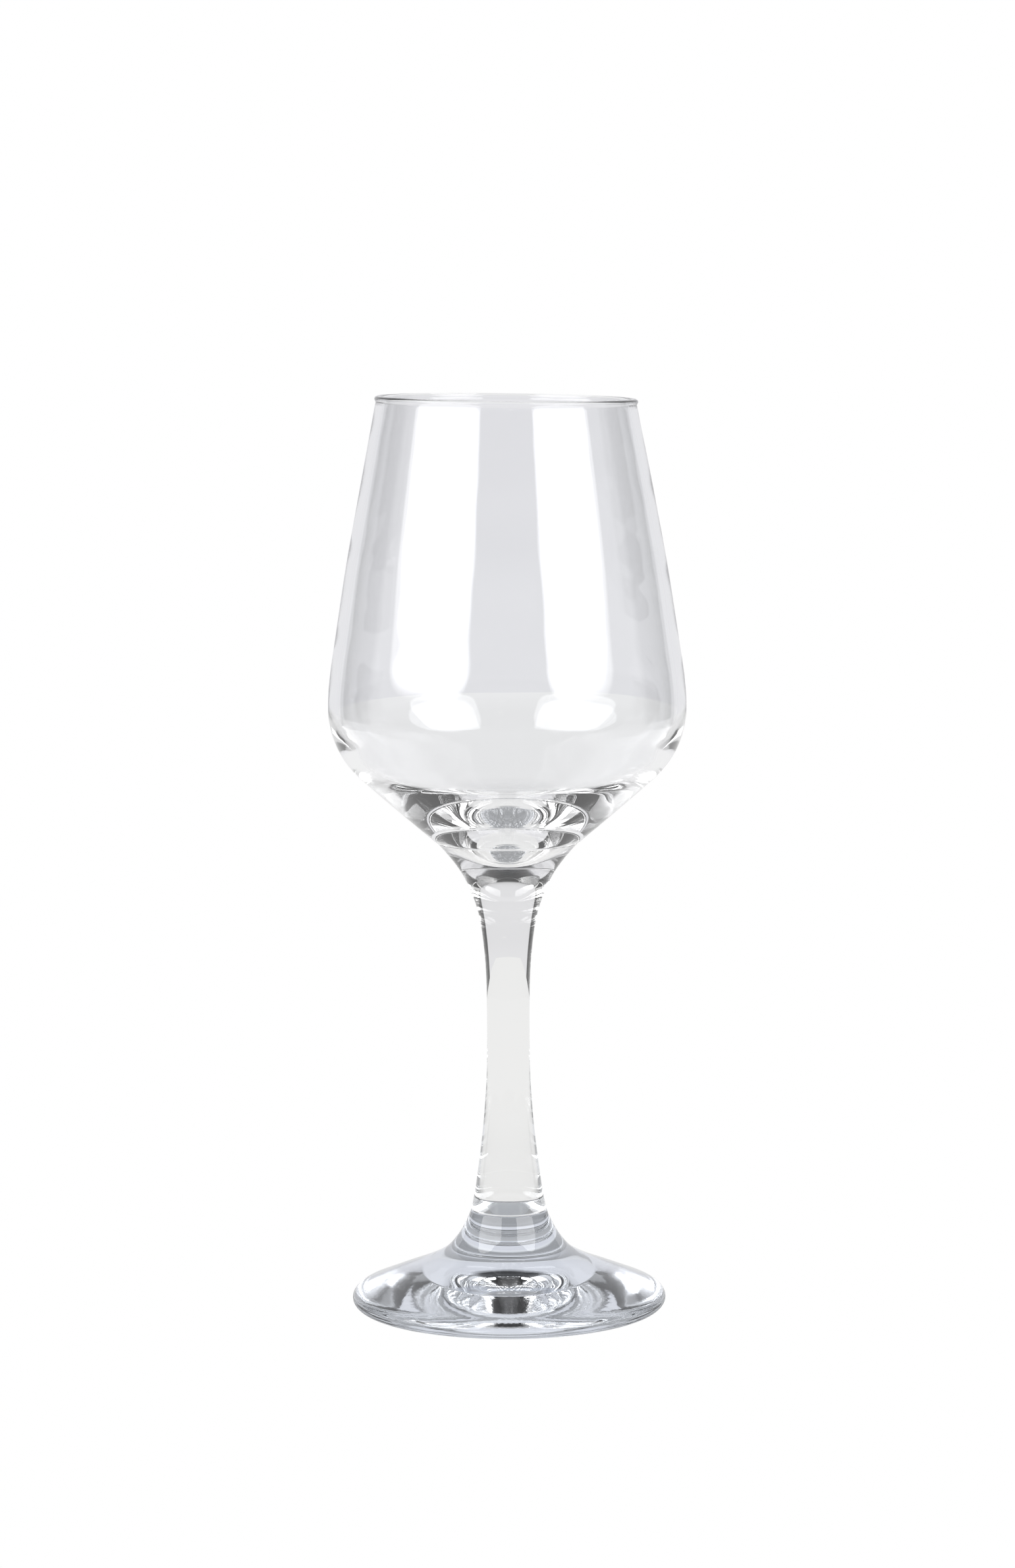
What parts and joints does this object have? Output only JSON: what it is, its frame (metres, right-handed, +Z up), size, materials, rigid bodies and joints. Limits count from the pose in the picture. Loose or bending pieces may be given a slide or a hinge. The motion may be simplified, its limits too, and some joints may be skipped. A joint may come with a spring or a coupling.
{
  "type": "wine glass",
  "caption": "Clear stemmed wine glass with a tapering bowl, a conical solid base, a flared solid stem and a wide hollowed disc foot.",
  "frame": {"origin": "on the glass's axis, on the surface that the foot stands on", "axes": "+Z up along the glass's axis, from the foot to the rim; +X and +Y are free because the glass is a body of revolution"},
  "size_m": [0.0802, 0.0802, 0.206],
  "materials": {
    "bowl_glass": "fire-polished, clear",
    "stem_glass": "fire-polished, clear",
    "foot_glass": "fire-polished on top, slightly rippled underneath"
  },
  "bodies": {
    "root": {"bowl": "bowl_glass", "stem": "stem_glass", "foot": "foot_glass"}
  },
  "joints": []
}
